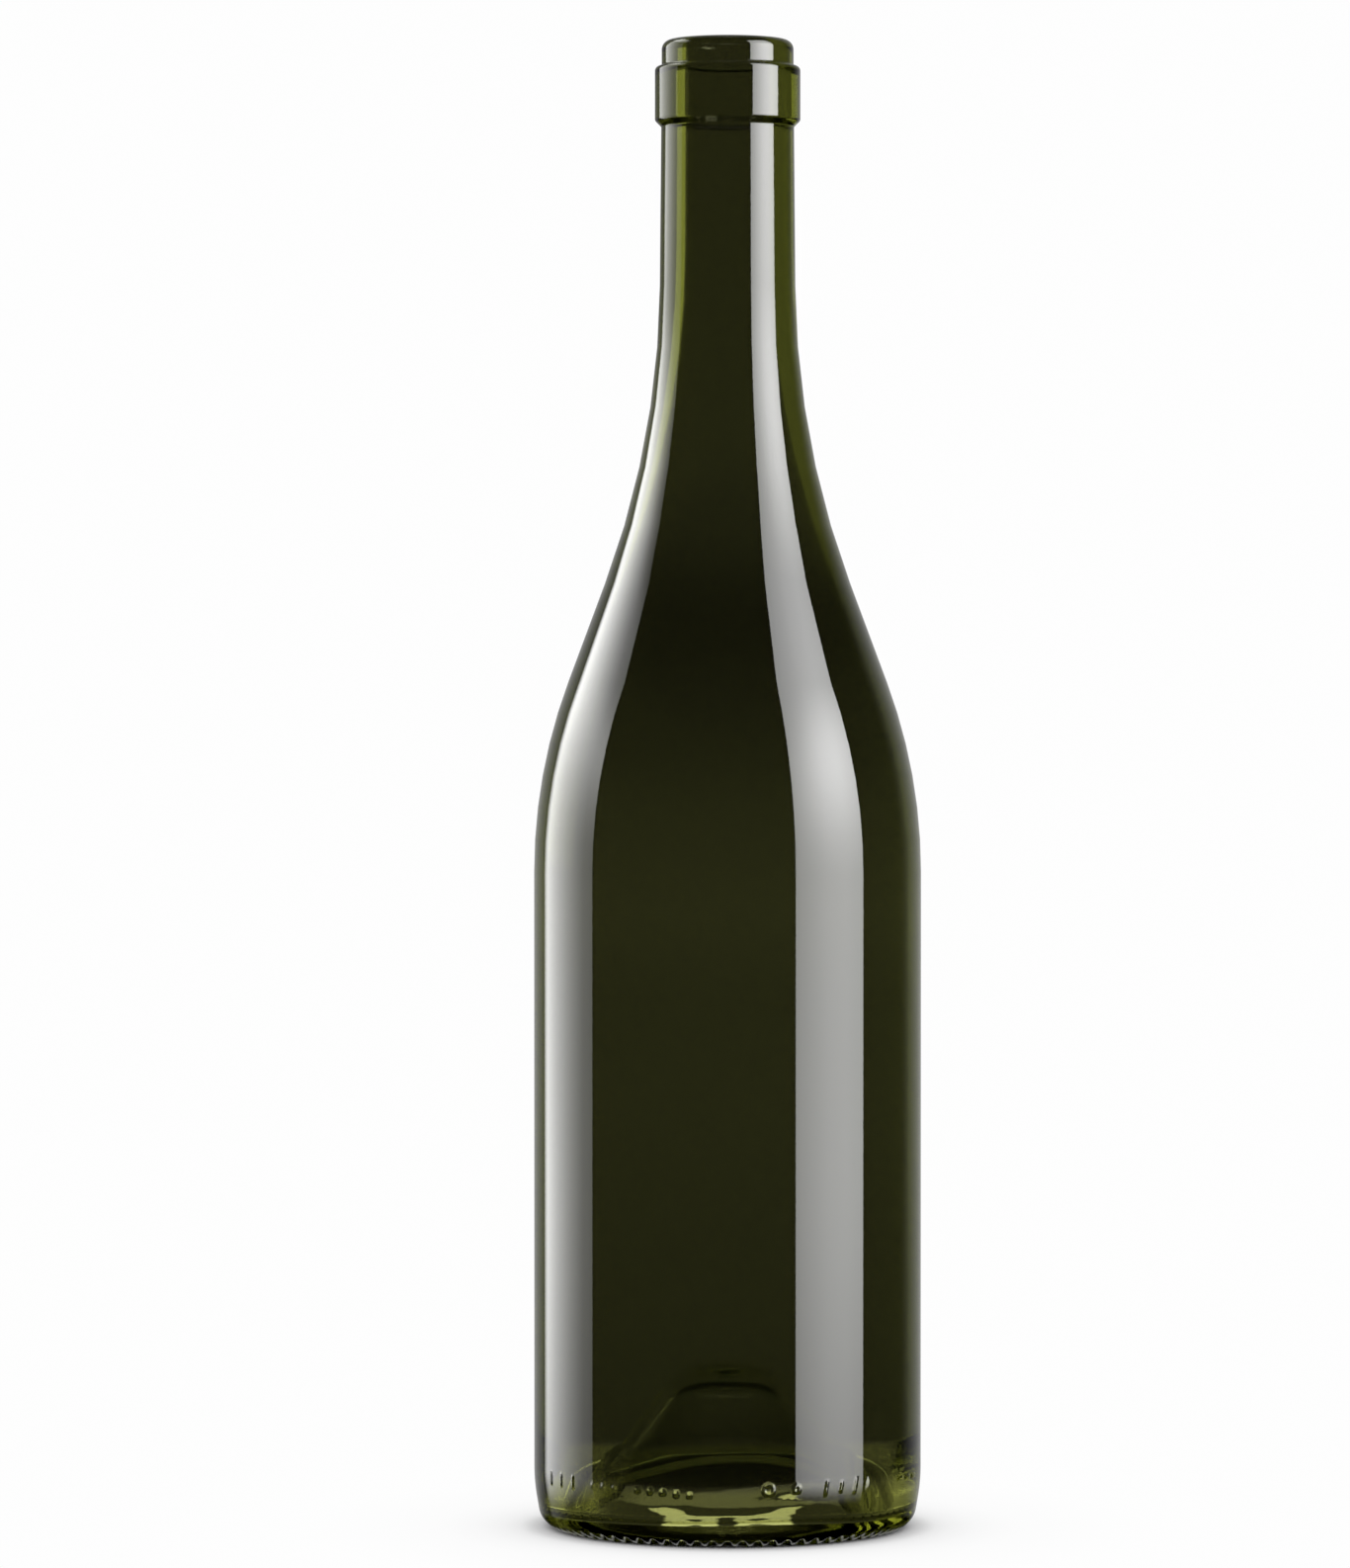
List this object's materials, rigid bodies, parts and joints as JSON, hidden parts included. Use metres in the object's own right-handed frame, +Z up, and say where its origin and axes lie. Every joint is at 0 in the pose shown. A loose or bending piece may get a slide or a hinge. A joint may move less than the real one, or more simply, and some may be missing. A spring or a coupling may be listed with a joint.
{
  "type": "burgundy wine bottle",
  "caption": "Empty open wine bottle in dark green glass, with sloping shoulders, a cork finish, a punt and a knurled base ring.",
  "frame": {"origin": "middle of the circle that the bottle stands on, on its axis", "axes": "+Z up along the bottle's axis, from the base to the mouth; X and Y are alike, because the bottle is round"},
  "size_m": [0.0798, 0.0798, 0.3066],
  "materials": {
    "glass": "clear fire-polished dark green glass, smooth and glossy inside and out"
  },
  "bodies": {
    "root": {"bottle": "glass"}
  },
  "joints": []
}
